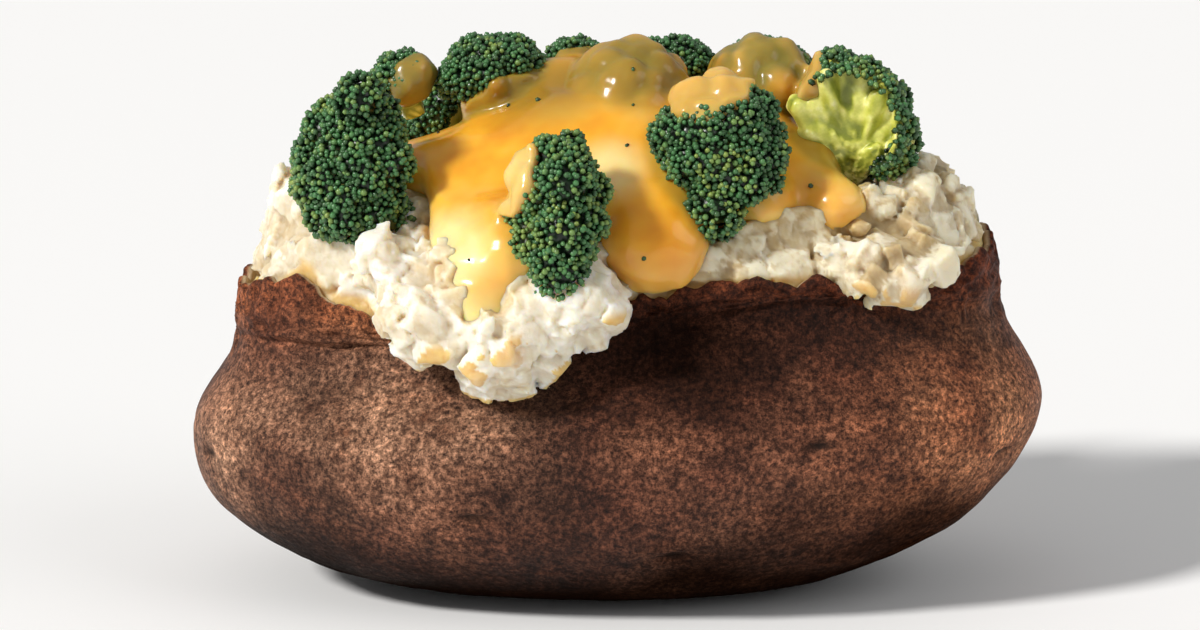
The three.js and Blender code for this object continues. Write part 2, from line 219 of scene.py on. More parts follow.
# ---- fields: signed distances in millimetres on a grid, negative inside ----
class Field:
    def __init__(self, low, high, pitch):
        self.low = np.array(low, float)
        self.pitch = pitch
        self.shape = tuple(np.ceil((np.array(high) - self.low) / pitch).astype(int) + 1)
        self.values = np.full(self.shape, FAR, np.float32)

    def window(self, low, high):
        """The slices of the grid that a box covers, and their x, y and z."""
        first = np.clip(np.floor((np.array(low) - self.low) / self.pitch).astype(int), 0, self.shape)
        last = np.clip(np.ceil((np.array(high) - self.low) / self.pitch).astype(int) + 1, 0, self.shape)
        spans = tuple(slice(a, b) for a, b in zip(first, last))
        axes = [self.low[i] + self.pitch * np.arange(first[i], last[i]) for i in range(3)]
        return spans, np.meshgrid(*axes, indexing="ij", sparse=True)

    def points(self):
        axes = [self.low[i] + self.pitch * np.arange(self.shape[i]) for i in range(3)]
        return np.stack(np.meshgrid(*axes, indexing="ij"), axis=-1).astype(np.float32)

    def add(self, centre, reach, distance, blend):
        """Joins a form to the field. distance(x, y, z) is measured from the form's centre."""
        centre, reach = np.array(centre, float), np.array(reach, float) + FAR
        spans, (x, y, z) = self.window(centre - reach, centre + reach)
        found = distance(x - centre[0], y - centre[1], z - centre[2])
        self.values[spans] = soft_min(self.values[spans], found, blend)

    def add_balls(self, balls, grow, blend):
        """Joins balls, given by their middles and half sizes and grown a little."""
        for centre, radii in balls:
            radii = np.array(radii, float) + grow
            self.add(centre, radii, partial(ball_distance, radii=radii), blend)

    def add_stroke(self, start, end, radius, blend, end_radius=None):
        start, end = np.array(start, float), np.array(end, float)
        centre = (start + end) / 2
        distance = partial(
            stroke_distance, start=start - centre, end=end - centre, radius=radius, end_radius=end_radius
        )
        self.add(centre, np.abs(end - start) / 2 + radius, distance, blend)

    def near(self, within):
        """The grid points near the surface, as a mask and as places."""
        mask = np.abs(self.values) < within
        return mask, (self.low + self.pitch * np.argwhere(mask)).astype(np.float32)

    def holding(self, values, low):
        """A field of the same pitch with values of its own, from another corner."""
        other = Field(low, low, self.pitch)
        other.shape, other.values = values.shape, values.astype(np.float32)
        return other

    def at(self, points):
        """The field's value at the grid point nearest to each point."""
        index = np.rint((points - self.low) / self.pitch).astype(int)
        index = np.clip(index, 0, np.array(self.shape) - 1)
        return self.values[index[:, 0], index[:, 1], index[:, 2]]

    def surface(self):
        """The zero surface as vertices in millimetres and four-sided faces."""
        grid = openvdb.FloatGrid(FAR)
        grid.copyFromArray(np.clip(self.values, -FAR, FAR).astype(np.float32))
        grid.gridClass = openvdb.GridClass.LEVEL_SET
        points, faces = grid.convertToQuads(isovalue=0.0)
        return points * self.pitch + self.low, faces[:, ::-1]


def ball_distance(x, y, z, radii):
    a, b, c = radii
    near = np.sqrt((x / a) ** 2 + (y / b) ** 2 + (z / c) ** 2)
    steep = np.sqrt((x / a**2) ** 2 + (y / b**2) ** 2 + (z / c**2) ** 2)
    return near * (near - 1) / np.maximum(steep, 1e-6)


def stroke_distance(x, y, z, start, end, radius, end_radius=None):
    along = end - start
    t = (x - start[0]) * along[0] + (y - start[1]) * along[1] + (z - start[2]) * along[2]
    t = np.clip(t / (along @ along), 0, 1)
    thick = radius + (0 if end_radius is None else (end_radius - radius) * t)
    away = (x - start[0] - t * along[0]) ** 2 + (y - start[1] - t * along[1]) ** 2
    return np.sqrt(away + (z - start[2] - t * along[2]) ** 2) - thick


# ---- meshes ----
def add_object(name, data):
    made = bpy.data.objects.new(name, data)
    bpy.context.scene.collection.objects.link(made)
    return made


def make_mesh(name, points, faces, attributes, look):
    """A piece from points in millimetres in the solid model's layout, placed on the frame."""
    mesh = bpy.data.meshes.new(name)
    points = (np.asarray(points, float).reshape(-1, 3) + SHIFT) * MM
    sides = faces.shape[-1]
    faces = faces.reshape(-1, sides)
    mesh.vertices.add(len(points))
    mesh.vertices.foreach_set("co", points.astype(np.float32).ravel())
    mesh.loops.add(faces.size)
    mesh.loops.foreach_set("vertex_index", faces.astype(np.int32).ravel())
    mesh.polygons.add(len(faces))
    mesh.polygons.foreach_set("loop_start", np.arange(0, faces.size, sides, dtype=np.int32))
    mesh.update(calc_edges=True)
    mesh.shade_smooth()
    for key, values in attributes.items():
        layer = mesh.attributes.new(key, "FLOAT", "POINT")
        layer.data.foreach_set("value", np.asarray(values, np.float32).ravel())
    mesh.materials.append(look)
    return add_object(name, mesh)


def stand_for(piece, slot, *nodes):
    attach(piece, "root")
    if nodes:
        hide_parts(*nodes)


def kept(points, faces, keep, attributes):
    """The faces whose corners are all kept, with unused vertices dropped."""
    faces = faces[keep[faces].all(axis=1)]
    used = np.unique(faces)
    renumber = np.zeros(len(points), int)
    renumber[used] = np.arange(len(used))
    attributes = {key: np.asarray(values)[used] for key, values in attributes.items()}
    return points[used], renumber[faces], attributes


# ---- the jacket ----
def turned_from(turn, x, y):
    """How far round, in radians, a turn is from the one at which a place is seen from above."""
    away = turn - math.atan2(y / HALF_WIDTH, x / HALF_LENGTH)
    return np.arctan2(np.sin(away), np.cos(away))


def lift_at(turn, shape):
    return sum(lift * peak(turned_from(turn, x, y), wide) for (x, y), lift, wide in shape)


def potato_form(reach, turn, z):
    """Turns a point of a round bowl into one of the potato, as the solid model does."""
    c, s = np.cos(turn), np.sin(turn)
    plan = (np.abs(c) ** PLAN_POWER + np.abs(s) ** PLAN_POWER) ** (-1 / PLAN_POWER)
    above = smooth(z, BELLY_HEIGHT, NECK_HEIGHT)
    torn = smooth(z, NECK_HEIGHT, RIM_HEIGHT)
    up = np.clip(z / BELLY_HEIGHT, 0, 1)
    raised = END_RISE * c * up + END_TUCK * np.maximum(c, 0) * np.sin(math.pi * up)
    creased = lift_at(turn, CREASE_SHAPE) * above * (1 - torn)
    x = reach * c * plan * (HALF_LENGTH / HALF_WIDTH)
    y = reach * s * plan * (1 - PINCH * above)
    swell = 1 + BUMP_SHARE * unevenness(x, y, z, BUMP_LENGTH, 1) * smooth(z, 0, BELLY_HEIGHT / 2)
    lifted = z + raised + creased + lift_at(turn, RIM_SHAPE) * torn
    return np.stack([x * swell, y * swell, lifted], axis=-1)


def ring(turn):
    """One place for each turn round the potato, whatever the height."""
    return np.stack([HALF_LENGTH * np.cos(turn), HALF_WIDTH * np.sin(turn), 0 * turn], axis=-1)


def torn_edge(turn, height):
    """How far the rim's edge is torn up or down."""
    return smooth(height, NECK_HEIGHT, RIM_HEIGHT) ** 3 * layered(ring(turn), TEARS)


def jacket_outline():
    """The bowl's section from the foot, up the outside, over the lip and a little way down the inside: how
    far out and how high each row is, and how far it has turned to the inside."""
    under = np.linspace(0, math.pi / 2, 48)
    shoulder = np.linspace(0, 1, 26)[1:]
    collar = np.linspace(0, 1, 22)[1:]
    lip = np.linspace(0, math.pi, 6)[1:-1]
    down = np.linspace(0, 1, 7)
    half = LIP / 2
    out = [
        np.linspace(0, FOOT, 6)[:-1],
        FOOT + (HALF_WIDTH - FOOT) * np.sin(under) ** (2 / BODY_POWER),
        HALF_WIDTH + (NECK - HALF_WIDTH) * smooth(shoulder, 0, 1),
        NECK + (RIM - NECK) * collar,
        RIM - half + half * np.cos(lip),
        RIM - LIP - LINING_LEAN * down,
    ]
    up = [
        np.zeros(5),
        BELLY_HEIGHT * (1 - np.cos(under) ** (2 / BODY_POWER)),
        BELLY_HEIGHT + (NECK_HEIGHT - BELLY_HEIGHT) * shoulder,
        NECK_HEIGHT + (RIM_HEIGHT - NECK_HEIGHT) * collar,
        RIM_HEIGHT + half * np.sin(lip),
        RIM_HEIGHT - LINING_DEPTH * down,
    ]
    outer_rows = sum(len(part) for part in out[:4])
    inside = np.concatenate([np.zeros(outer_rows), np.linspace(0, 1, len(lip)), np.ones(len(down))])
    return np.concatenate(out), np.concatenate(up), inside


def grid_normals(grid):
    """Outward normals of a grid of points [section, turn] that closes on itself around the turn."""
    around = np.roll(grid, -1, axis=1) - np.roll(grid, 1, axis=1)
    along = np.gradient(grid, axis=0)
    normal = np.cross(around, along)
    return normal / np.maximum(np.linalg.norm(normal, axis=-1, keepdims=True), 1e-6)


COLUMNS = 640  # points round the jacket
LINING_DEPTH = 6.0  # how far down the inside the skin is made
LINING_LEAN = 0.6

# Layers of noise in the rim's torn edge and all over the skin: depth, wave and seed.
TEARS = [(1.7, 6, 21), (1.0, 2.4, 22), (0.5, 1.1, 23)]
SKIN_BUMPS = [(0.55, 21, 1), (0.3, 8, 2), (0.12, 3, 3)]

# Creases where the neck is pressed in: how far above it, how deep and how wide, around one place.
WRINKLES = [(0.6, 1.1, 0.55), (-1.6, 0.7, 0.45), (2.6, 0.4, 0.4)]
WRINKLED = (-46, -24)

TURN_REACH = 45.0  # about how far the skin goes round, in millimetres, for each radian of turn

# Eyes of the potato: where on the skin, from above and in height, and how wide.
EYES = [
    ((-61, -14), 27, 2.6), ((-22, -36), 20, 2.0), ((30, -34), 30, 2.2), ((58, -18), 22, 2.4),
    ((8, -30), 12, 2.0), ((64, 10), 32, 2.2), ((-58, 22), 30, 2.4), ((-20, 36), 24, 2.4),
    ((24, 37), 30, 2.2), ((46, 26), 18, 2.0), ((-40, 24), 12, 2.0), ((-66, 2), 20, 1.8),
]

# Patches of lighter, tan skin: where from above and in height, and how wide.
TAN = [
    ((-38, -36), 39, 20), ((-62, -16), 26, 13), ((60, -18), 31, 16), ((-50, 30), 30, 22), ((40, 32), 26, 20),
]


def skin_relief(place, height, turn):
    """How far the skin stands out from the plain form, and how far into an eye each point is."""
    relief = layered(place, SKIN_BUMPS)
    across = 12 * noise_at(ring(turn), 14, 31) + turn * 2.2
    stretched = np.stack([across, height + 1.4 * noise_at(place, 9, 32), 0 * turn], axis=-1)
    folds = 1 - np.abs(noise_at(stretched, 2.0, 33)) * 2
    calmer = 1 - 0.5 * smooth(height, RIM_HEIGHT - 2, RIM_HEIGHT)
    collar = smooth(height, NECK_HEIGHT - 5, NECK_HEIGHT + 1) * calmer
    relief += 0.5 * collar * np.clip(folds, -1, 1)
    relief += 0.3 * smooth(height, RIM_HEIGHT - 3, RIM_HEIGHT) * noise_at(place, 1.3, 34)
    relief -= 0.5 * peak(height - NECK_HEIGHT - 0.4, 1.5)
    pressed = peak(turned_from(turn, *WRINKLED), 0.4)
    wander = height - NECK_HEIGHT - 0.7 * noise_at(place, 13, 37)
    for up, deep, wide in WRINKLES:
        relief -= deep * pressed * peak(wander - up, wide)
        relief += 0.5 * deep * pressed * peak(wander - up - 1.1, wide)
    eyes = 0
    for (x, y), z, wide in EYES:
        away = turned_from(turn, x, y) * TURN_REACH
        bend = 0.05 * away**2
        shape = np.exp(-((away / wide) ** 2) - ((height - z + bend) / (0.45 * wide)) ** 2)
        above = (height - z - 0.7 * wide + bend) / (0.5 * wide)
        brow = np.exp(-((away / (1.3 * wide)) ** 2) - above**2)
        relief += 0.4 * brow - 0.9 * shape
        eyes = np.maximum(eyes, shape)
    return relief, eyes


def skin_tones(grid, height):
    """Where the skin is tan, where painted shade darkens it (underneath, low at the right away from the key
    light, and under the rim in the spilled flesh's shadow), and where it's warmer in colour, towards the
    right."""
    x, y, z = np.moveaxis(grid, -1, 0)
    tan = 0
    for (tan_x, tan_y), tan_z, wide in TAN:
        away = (x - tan_x) ** 2 + (y - tan_y) ** 2 + 1.6 * (z - tan_z) ** 2
        tan = np.maximum(tan, np.exp(-away / wide**2))
    tan = np.clip(tan * (0.9 + 0.7 * noise_at(grid, 11, 35)), 0, 1)
    wander = height + 4 * noise_at(grid, 12, 36)
    # painted shade: the skin is darkened underneath, low on the right side away from the key light, and under
    # the rim where the spilled flesh casts its shadow
    under = 1 - smooth(wander, 5, 20)
    right = 0.95 * smooth(x, -5, 40) * (1 - smooth(wander, 9, 24))
    front = np.exp(-(((x - 12) / 23) ** 2 + ((height - 42) / 10) ** 2)) * smooth(-y, 5, 25)
    painted_shade = np.max([under, right, 0.9 * front], axis=0)
    return {"tan": 0.95 * tan, "painted_shade": np.clip(painted_shade, 0, 1), "warm": smooth(x, 22, 55)}


def make_jacket():
    out, up, inside = jacket_outline()
    turn = np.linspace(0, 2 * math.pi, COLUMNS, endpoint=False)
    reach, around = np.meshgrid(out, turn, indexing="ij")
    height = np.broadcast_to(up[:, None], reach.shape)
    lining = np.broadcast_to(inside[:, None], reach.shape)
    grid = potato_form(reach, around, height)
    grid[..., 2] += torn_edge(around, height)
    relief, eyes = skin_relief(grid, height, around)
    ground = smooth(height, 0, 3)
    grid = grid + grid_normals(grid) * (relief * ground)[..., None] * (1 - lining[..., None])
    grid[..., 2] = np.maximum(grid[..., 2], 0)
    index = np.arange(height.size).reshape(height.shape)
    after = np.roll(index, -1, axis=1)
    faces = np.stack([index[:-1], after[:-1], after[1:], index[1:]], axis=-1)
    collar = smooth(height, NECK_HEIGHT - 2, RIM_HEIGHT)
    attributes = {"lining": lining, "collar": collar, "eye": eyes, **skin_tones(grid, height)}
    stand_for(make_mesh("jacket_skin", grid, faces, attributes, skin_material()), "skin", "jacket")


# ---- the flesh ----
FILL_MIDDLE = 46.0
HEAP_BLEND = 3.0

# The broken surface: how wide the pieces of each size are, and how far they stand out.
CRUMBS = [(5.0, 0.9), (2.2, 0.3), (1.1, 0.12)]

# The blocks set into it: half sizes, and how common each is.
BLOCK_SIZES = [1.5, 2.4, 3.4]
BLOCK_SHARES = [0.35, 0.4, 0.25]
BLOCKS = 3600
PLAIN_TINT = 0.42  # how white the flesh between the blocks is


def heap_field(pitch, grow):
    """The heap's bulk: what the torn rim holds in, and the lumps that spill over it."""
    field = Field((-70, -46, 36), (70, 44, 82), pitch)
    field.add_balls([MOUND, *LUMPS], grow, HEAP_BLEND)
    field.add((0, 0, FILL_MIDDLE), (66, 34, 20), fill_distance, 1.5)
    axes = np.moveaxis(field.points(), -1, 0)
    field.values[:] = soft_max(field.values, outside_jacket(*axes), 0.8)
    field.add_balls(SPILLS, grow, HEAP_BLEND)
    return field


def fill_distance(x, y, z):
    """The flesh that fills the jacket right up to its torn rim, measured from the fill's middle height."""
    side = (bowl_reach(x, y) - RIM + LIP) * (1 - PINCH)
    return soft_max(side, z + FILL_MIDDLE - rim_height_at(x, y) - 0.6, 1.5)


def bowl_reach(x, y):
    """The radius, before the bowl was drawn out into a potato, of a point seen from above."""
    across = np.abs(x * HALF_WIDTH / HALF_LENGTH)
    deep = np.abs(y / (1 - PINCH))
    return (across**PLAN_POWER + deep**PLAN_POWER) ** (1 / PLAN_POWER)


def rim_height_at(x, y):
    turn = np.arctan2(y / (1 - PINCH), x * HALF_WIDTH / HALF_LENGTH)
    return RIM_HEIGHT + END_RISE * np.cos(turn) + lift_at(turn, RIM_SHAPE)


def outside_jacket(x, y, z):
    """How far flesh at a point lies outside what the jacket's torn rim leaves it."""
    side = (bowl_reach(x, y) - RIM + LIP) * (1 - PINCH) - 0.1
    above = z - rim_height_at(x, y)
    return side + 1.0 * smooth(above, 0.5, 4) + 0.13 * np.maximum(above - 4, 0)


def spill_distance(points):
    """How far points lie outside the lumps that spill over the rim."""
    found = np.full(len(points), FAR)
    for centre, radii in SPILLS:
        found = np.minimum(found, ball_distance(*(points - np.array(centre)).T, np.array(radii, float)))
    return found


def sauce_reach(points):
    """How far points lie outside the stretch that the sauce covers, negative where it covers them."""
    x, y, z = points[..., 0], points[..., 1], points[..., 2]
    middle, radii = SAUCE_POOL
    reach = ball_distance(x - middle[0], y - middle[1], z - middle[2], radii)
    for start, end, radius in SAUCE_RUNS:
        reach = soft_min(reach, stroke_distance(x, y, z, np.array(start), np.array(end), radius), 4.0)
    return reach


def block_planes(rng, size):
    """A rough cube with corners knocked off: the directions of its flat sides, and how far out each lies."""
    sides = basis(rng.normal(size=3)) @ basis(rng.normal(size=3))
    normals = np.vstack([sides, -sides, unit(rng.normal(size=(4, 3)))])
    offsets = size * np.concatenate([rng.uniform(0.6, 1.0, 6), rng.uniform(0.8, 1.15, 4)])
    return normals, offsets


def add_blocks(field, rng):
    """Sets broken blocks into the heap's surface. Returns a field of how white each of them is."""
    tint = field.holding(np.full(field.shape, PLAIN_TINT), field.low)
    spots, _ = heap_field(0.8, -2.0).surface()
    spots = spots[rng.choice(len(spots), BLOCKS, replace=False)]
    least = np.where(spill_distance(spots) < 1, -1.2, 0.6)
    spots = spots[~hidden_flesh(spots, -2.8) & (sauce_reach(spots) > least)]
    spots = spots[rng.random(len(spots)) > 0.75 * calm_at(spots)]
    for spot in spots:
        size = rng.choice(BLOCK_SIZES, p=BLOCK_SHARES)
        normals, offsets = block_planes(rng, size)
        spans, (x, y, z) = field.window(spot - size - 1, spot + size + 1)
        x, y, z = x - spot[0], y - spot[1], z - spot[2]
        found = np.max([n[0] * x + n[1] * y + n[2] * z - d for n, d in zip(normals, offsets)], axis=0)
        tint.values[spans] = np.where(found < field.values[spans], rng.uniform(0.3, 1.0), tint.values[spans])
        field.values[spans] = soft_min(field.values[spans], found, 0.35)
    return tint


def crumbled(points):
    """How far the broken surface stands out at each point, and how much whiter it is there: each crumb's own
    tone, less painted shade in the cracks between crumbs.
    """
    relief, whiteness_and_shade = 0, 0
    for seed, (wide, rise) in enumerate(CRUMBS, 44):
        way, lead, own = cells_at(points, wide, seed)
        tilt = np.einsum("ij,ij->i", unit(own[:, :3] - 0.5), way)
        face = smooth(lead, 0.0, 0.13)
        relief = relief + rise * (face * (0.9 * (own[:, 3] - 0.5) + 0.6 * tilt + 0.3) - 0.3)
        # painted shade: the cracks between crumbs are made darker
        whiteness_and_shade = whiteness_and_shade + min(0.11 * wide, 0.4) * (own[:, 3] - 0.5) - 0.06 * (1 - face)
    return relief, whiteness_and_shade


def calm_at(points):
    """Where the flesh is smooth and little broken: towards the heap's two ends."""
    return np.maximum(1 - smooth(points[:, 0], -47, -32), smooth(points[:, 0], 35, 47))


def inside_rim(field, near, place, relief):
    """Cuts off what sticks out over the torn rim anywhere but on the lumps that spill over it."""
    x, y, z = place.T
    free = smooth(z - rim_height_at(x, y), 0.2, 2.2)
    heaped = outside_jacket(x, y, z) - (0.5 + 1.3 * relief) * free
    allowed = soft_min(heaped, spill_distance(place) - 1.4 - relief, 2.5)
    field.values[near] = soft_max(field.values[near], allowed, 0.5)


def make_flesh():
    rng = np.random.default_rng(4)
    field = heap_field(FLESH_PITCH, -1.8)
    tint = add_blocks(field, rng)
    near, place = field.near(3.5)
    relief, _ = crumbled(place)
    relief = relief * (1 - 0.45 * calm_at(place))
    field.values[near] -= relief.astype(np.float32)
    inside_rim(field, near, place, relief)
    points, faces = field.surface()
    _, whiteness_and_shade = crumbled(points)
    whiteness_and_shade = 0.25 + whiteness_and_shade + 0.6 * tint.at(points)
    # painted shade: flesh sunk into the heap's bulk is darker, and flesh standing out of it whiter
    whiteness_and_shade = whiteness_and_shade + 0.1 * smooth(heap_field(COARSE_PITCH, -1.5).at(points), -1, 1.5)
    attributes = {"whiteness_and_shade": whiteness_and_shade, "soaked": soaked_by_sauce(points), "waxy_and_shade": waxy_and_shade_at(points)}
    points, faces, attributes = kept(points, faces, ~hidden_flesh(points, 2.0), attributes)
    look = flesh_material()
    for name, side in (("flesh_front", -1), ("flesh_back", 1)):
        half = points[faces].mean(axis=1)[:, 1] * side > 0
        part, sides, values = kept(points, faces[half], np.ones(len(points), bool), attributes)
        stand_for(make_mesh(name, part, sides, values, look), "flesh", "flesh")


def hidden_flesh(points, margin):
    """Where the flesh lies well inside the jacket or under the sauce."""
    x, y, z = points.T
    sunk = (z < rim_height_at(x, y) - 2.5 - margin) & (bowl_reach(x, y) < RIM - 0.2)
    return sunk | (sauce_reach(points) < -4)


def soaked_by_sauce(points):
    """Where the flesh has drawn up sauce and butter: beside the sauce, and along the skin."""
    x, y, z = points.T
    above = z - rim_height_at(x, y)
    beside = 1 - smooth(sauce_reach(points), -0.5, 2.4)
    flush = (1 - smooth(above, 0.3, 2.2)) * (spill_distance(points) > 1.0)
    skin = NECK + 0.55 * np.maximum(NECK_HEIGHT - z, 0)
    touching = 0.8 * (1 - smooth(bowl_reach(x, y) - skin, 0.0, 2.4)) * (1 - smooth(above, -1, 0.5))
    return np.clip(np.max([0.6 * beside, flush, touching], axis=0), 0, 1)


def waxy_and_shade_at(points):
    """Where the flesh is firm and translucent rather than floury, in patches, and painted shade: the darker
    waxy colour rises towards the right, away from the key light.
    """
    right = smooth(points[:, 0], -5, 35)
    return np.clip(0.15 + 0.7 * right + 0.7 * noise_at(points, 9, 48), 0, 1)


# ---- the florets ----
CROWN_HEIGHT = 0.8  # how high a crown is above its middle, in half widths
BUD_SPACING = 0.93
UNDERSIDE = -0.6  # how far round to its back a small head carries buds, as a cosine

# Larger heads that stand out of a crown: how far from its middle, and how wide.
HEADS = {
    "floret_right": [((-1.0, -5.0, -9.5), 4.4), ((-8.0, -3.0, 2.0), 3.2)],
    "floret_left": [((1.5, -3.0, 11.0), 4.0), ((6.0, -1.0, -8.0), 3.4)],
    "floret_front": [((0.5, -3.5, -9.0), 4.2), ((1.5, -3.0, 5.0), 4.4), ((1.0, -4.5, -2.0), 4.4)],
}

# How much lighter and yellower the buds of some florets are than the rest.
PALER = {"floret_front": 0.2, "floret_left": 0.09, "floret_sliced": 0.08}

# The sliced floret's arms fan out from its root, behind the cut, between these directions around its middle.
FAN_ROOT = (-0.08, 0.12, -0.92)
FAN_ARMS = 9
FAN_MIDDLE = (-0.22, 0.0)  # the middle of the cut's open face, across and up from the crown's middle
FAN_REACH = 0.74  # how far the open face reaches from there, inside the band of buds
FAN_FROM, FAN_TO = math.radians(-42), math.radians(160)


def basis(facing):
    """The local axes, as rows, of something whose z axis faces a given way."""
    z = unit(np.array(facing, float))
    upright = np.array([0, 1, 0]) if abs(z[2]) > 0.9 else np.array([0, 0, 1])
    x = unit(np.cross(upright, z))
    return np.stack([x, np.cross(z, x), z])


def spread(count, low_cos):
    """Directions spread evenly over a cap around +Z, down to a given cosine."""
    i = np.arange(count) + 0.5
    z = 1 - (1 - low_cos) * i / count
    turn = i * math.pi * (3 - math.sqrt(5))
    out = np.sqrt(np.maximum(1 - z * z, 0))
    return np.stack([out * np.cos(turn), out * np.sin(turn), z], axis=-1)


def bud_ball(sides=5, rings=3):
    """A small ball of few faces, as points and triangles."""
    points, faces = [(0, 0, 1)], []
    for ring in range(1, rings):
        tilt = math.pi * ring / rings
        for side in range(sides):
            turn = 2 * math.pi * (side + ring / 2) / sides
            points.append((math.sin(tilt) * math.cos(turn), math.sin(tilt) * math.sin(turn), math.cos(tilt)))
    points.append((0, 0, -1))
    last = len(points) - 1
    for side in range(sides):
        after = (side + 1) % sides
        faces.append((0, 1 + side, 1 + after))
        faces.append((last, last - sides + after, last - sides + side))
        for ring in range(rings - 2):
            high, low = 1 + ring * sides, 1 + (ring + 1) * sides
            faces.append((high + side, low + side, high + after))
            faces.append((high + after, low + side, low + after))
    return np.array(points), np.array(faces)


def floret_clusters(rng, radius, tall):
    """The small heads that make up a crown: their middles, half widths and the ways they face."""
    count = int(round(2.9 * (radius / 2.9) ** 2 * (1 + tall) / 2)) + 6
    around = unit(spread(count, -0.35) + rng.normal(scale=0.1, size=(count, 3)))
    size = radius * rng.uniform(0.2, 0.33, count) * (10 / radius) ** 0.35
    size = np.minimum(size, 0.42 * radius)
    form = np.array([1, tall, CROWN_HEIGHT]) * radius * rng.uniform(0.92, 1.06, (count, 1))
    middle = around * (form - size[:, None] * 0.92)
    low = np.minimum(around[:, 2], 0)
    middle[:, :2] *= (1 + 0.55 * low)[:, None]
    return middle, size, around


def gaps(spots, middle, size):
    """How far each spot is from the middle of each small head, in that head's half widths."""
    return np.linalg.norm(spots[:, None] - middle[None], axis=-1) / size[None]


def bud_places(rng, middle, size, around, hull):
    """Buds on the small heads and between them, except where a head covers them: their places, the ways they
    face, and how far each is turned outwards."""
    places, ways, depth = [], [], []
    for i in range(len(middle)):
        count = int(2 * math.pi * size[i] ** 2 * (1 - UNDERSIDE) / (0.87 * BUD_SPACING**2))
        way = spread(count, UNDERSIDE)
        turn = basis(around[i] + rng.normal(scale=0.15, size=3))
        way = unit(way @ turn + rng.normal(scale=0.1, size=way.shape))
        spot = middle[i] + way * size[i] * rng.uniform(0.88, 1.08, (count, 1))
        gap = gaps(spot, middle, size)
        gap[:, i] = np.inf
        open_side = gap.min(axis=1) > 0.95
        places.append(spot[open_side])
        ways.append(way[open_side])
        depth.append((way @ around[i])[open_side])
    way = spread(int(2 * math.pi * hull.prod() ** (2 / 3) * 1.2 / BUD_SPACING**2), -0.3)
    spot = way * hull
    between = gaps(spot, middle, size).min(axis=1) > 0.98
    places.append(spot[between])
    ways.append(way[between])
    depth.append(np.full(between.sum(), -0.4))
    return np.concatenate(places), np.concatenate(ways), np.concatenate(depth)


def make_buds(name, places, ways, tones, sizes):
    """One mesh of buds, each a small ball drawn out a little along its own way."""
    ball, triangles = BALL
    turns = np.stack([basis(way) for way in ways])
    stretched = ball[None] * sizes[:, None, None] * np.array([1, 1, 1.25])
    points = np.einsum("nij,njk->nik", stretched, turns) + places[:, None]
    faces = triangles[None] + (np.arange(len(places)) * len(ball))[:, None, None]
    tone = np.repeat(tones, len(ball))
    tip = np.tile(ball[:, 2], len(places))
    return make_mesh(name, points, faces, {"tone": tone, "tip": tip}, BUD_LOOK)


def stem_field(middle, size, radius, tall, pitch):
    """The branching stem under a crown, up to the middle of each small head."""
    reach = radius * max(1, tall) * 1.05
    field = Field((-reach, -reach, -1.15 * radius), (reach, reach, 0.95 * radius), pitch)
    root = np.array([0, 0, -1.05 * radius])
    fork = np.array([0, 0, -0.35 * radius])
    field.add_stroke(root, fork, 0.34 * radius, 1.0, 0.42 * radius)
    for spot, wide in zip(middle, size):
        field.add_stroke(fork + 0.1 * spot, spot * 0.97, 0.16 * radius, 0.6, 0.78 * wide)
    return field


def open_fan(field, turn, radius):
    """Cuts the sliced floret open to the arms that fan out from its root. Returns a test for the buds that
    the cut leaves."""
    place = field.points()
    world = place @ turn
    middle = np.array(FAN_MIDDLE) * radius
    front = -SLICE_DEPTH * radius
    hollow = np.hypot(world[..., 0] - middle[0], world[..., 2] - middle[1]) - FAN_REACH * radius
    cut = -soft_max(hollow, world[..., 1] - front, 1.0)
    field.values[:] = soft_max(field.values, cut, 0.6)
    root = np.array(FAN_ROOT) * radius
    for turned in np.linspace(FAN_FROM, FAN_TO, FAN_ARMS):
        across, up = middle + np.array([math.cos(turned), math.sin(turned)]) * 0.87 * FAN_REACH * radius
        end = np.array([across, front + (0.1 + 0.12 * math.cos(5 * turned)) * radius, up])
        field.add_stroke(turn @ root, turn @ end, 0.14 * radius, 0.15, 0.15 * radius)
    field.values -= (0.35 * streaks(place, turn @ root, radius)).astype(np.float32)

    def stays(spots):
        away = np.hypot(spots[:, 0] - middle[0], spots[:, 2] - middle[1])
        return (away >= 0.95 * FAN_REACH * radius) | (spots[:, 1] > front + 0.4 * radius)

    return stays


def streaks(place, root, radius):
    """Noise drawn out along the ways that lead from a stem's root."""
    away = place - root
    far = np.linalg.norm(away, axis=-1, keepdims=True)
    return noise_at(away / np.maximum(far, 1e-3) * radius + far / 7, 0.85, 72)


